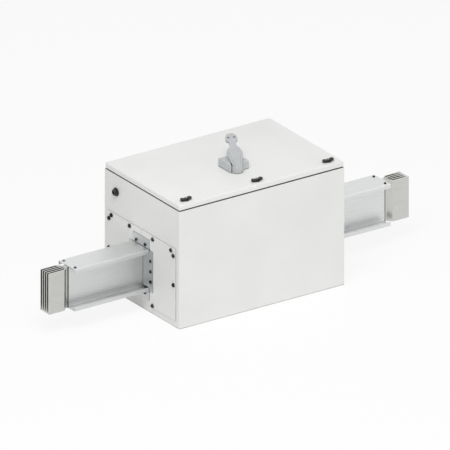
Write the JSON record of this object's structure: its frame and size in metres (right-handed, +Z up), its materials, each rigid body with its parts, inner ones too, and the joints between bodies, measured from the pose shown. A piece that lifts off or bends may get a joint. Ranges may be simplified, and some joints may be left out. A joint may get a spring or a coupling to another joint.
{
  "type": "busway circuit breaker unit",
  "caption": "Sheet-metal breaker enclosure with hinged, latched lid and rotary handle, joined at both ends to sandwich busway stubs with flared flat bars.",
  "frame": {"origin": "centre of the enclosure's flat underside", "axes": "+X along the busway from the line end to the load end, -Y the latched front, +Z up"},
  "size_m": [1.96, 0.615, 0.7262],
  "materials": {
    "enclosure_paint": "light grey powder coat, fine satin",
    "plate_zinc": "satin sheet",
    "casing_aluminium": "extruded, satin",
    "bar_tin": "tin-plated copper, satin",
    "link_copper": "bare copper, satin",
    "film": "polyester film",
    "insulation": "glass-filled moulding",
    "barrier": "press board",
    "zinc_steel": "zinc plated",
    "black_steel": "black oxide",
    "breaker_plastic": "dark grey moulding",
    "operator_plastic": "grey moulding",
    "handle_plastic": "light grey moulding",
    "block_plastic": "grey moulding",
    "dark_plastic": "black moulding",
    "gasket_rubber": "closed-cell strip",
    "bush_plastic": "acetal",
    "green_rubber": "seal"
  },
  "bodies": {
    "enclosure": {"enclosure_body": "enclosure_paint", "end_plate_left_front": "enclosure_paint", "end_plate_left_rear": "enclosure_paint", "end_plate_right_front": "enclosure_paint", "end_plate_right_rear": "enclosure_paint", "end_plate_screws": "black_steel", "bracket_screws": "black_steel", "casing_screws": "black_steel", "flange_brackets_left": "plate_zinc", "flange_brackets_right": "plate_zinc", "side_brackets_left": "plate_zinc", "side_brackets_right": "plate_zinc", "casing_covers_left": "casing_aluminium", "casing_covers_right": "casing_aluminium", "casing_sides_left": "casing_aluminium", "casing_sides_right": "casing_aluminium", "bar_films_left": "film", "bar_films_right": "film", "bar_support_left": "insulation", "bar_support_right": "insulation", "line_bar_1": "bar_tin", "line_bar_2": "bar_tin", "line_bar_3": "bar_tin", "load_bar_1": "bar_tin", "load_bar_2": "bar_tin", "load_bar_3": "bar_tin", "neutral_bar": "bar_tin", "earth_bar": "bar_tin", "earth_strap": "link_copper", "mounting_tray": "zinc_steel", "tray_pillars": "zinc_steel", "tray_nuts": "zinc_steel", "breaker_case": "breaker_plastic", "breaker_cover": "breaker_plastic", "breaker_terminals": "link_copper", "phase_barriers": "barrier", "rotary_operator": "operator_plastic", "terminal_links": "link_copper", "link_bolts": "zinc_steel", "latch_receptacles": "zinc_steel", "hinge_body_leaves": "zinc_steel", "hinge_pins": "zinc_steel", "gland_body": "dark_plastic", "gland_cap": "dark_plastic", "gland_seal": "green_rubber", "gland_locknut": "dark_plastic"},
    "lid": {"lid": "enclosure_paint", "lid_gasket": "gasket_rubber", "hinge_lid_leaves": "zinc_steel", "handle_base": "block_plastic", "handle_base_screws": "zinc_steel", "handle_bush": "bush_plastic"},
    "handle": {"handle_lever": "handle_plastic", "handle_ring": "zinc_steel"},
    "shaft": {"operating_shaft": "zinc_steel", "shaft_coupler": "zinc_steel"},
    "latch_left": {"wing_latch_left": "dark_plastic"},
    "latch_centre": {"wing_latch_centre": "dark_plastic"},
    "latch_right": {"wing_latch_right": "dark_plastic"}
  },
  "joints": [
    {"name": "lid_hinge", "type": "hinge", "parent": "enclosure", "child": "lid", "pos_m": [0, 0.309, 0.579], "axis": [-1, 0, 0], "range_deg": [0, 110]},
    {"name": "handle_turn", "type": "hinge", "parent": "lid", "child": "handle", "pos_m": [-0.015, -0.124, 0.606], "axis": [0, 0, 1], "range_deg": [-67, 23]},
    {"name": "shaft_turn", "type": "hinge", "parent": "enclosure", "child": "shaft", "pos_m": [-0.015, -0.124, 0.35], "axis": [0, 0, 1], "range_deg": [-67, 23]},
    {"name": "latch_turn_left", "type": "hinge", "parent": "lid", "child": "latch_left", "pos_m": [-0.387, -0.26, 0.606], "axis": [0, 0, 1], "range_deg": [0, 90]},
    {"name": "latch_turn_centre", "type": "hinge", "parent": "lid", "child": "latch_centre", "pos_m": [0, -0.26, 0.606], "axis": [0, 0, 1], "range_deg": [0, 90]},
    {"name": "latch_turn_right", "type": "hinge", "parent": "lid", "child": "latch_right", "pos_m": [0.387, -0.26, 0.606], "axis": [0, 0, 1], "range_deg": [0, 90]}
  ],
  "couplings": [
    {"joint": "shaft_turn", "follows": "handle_turn", "ratio": 1}
  ]
}
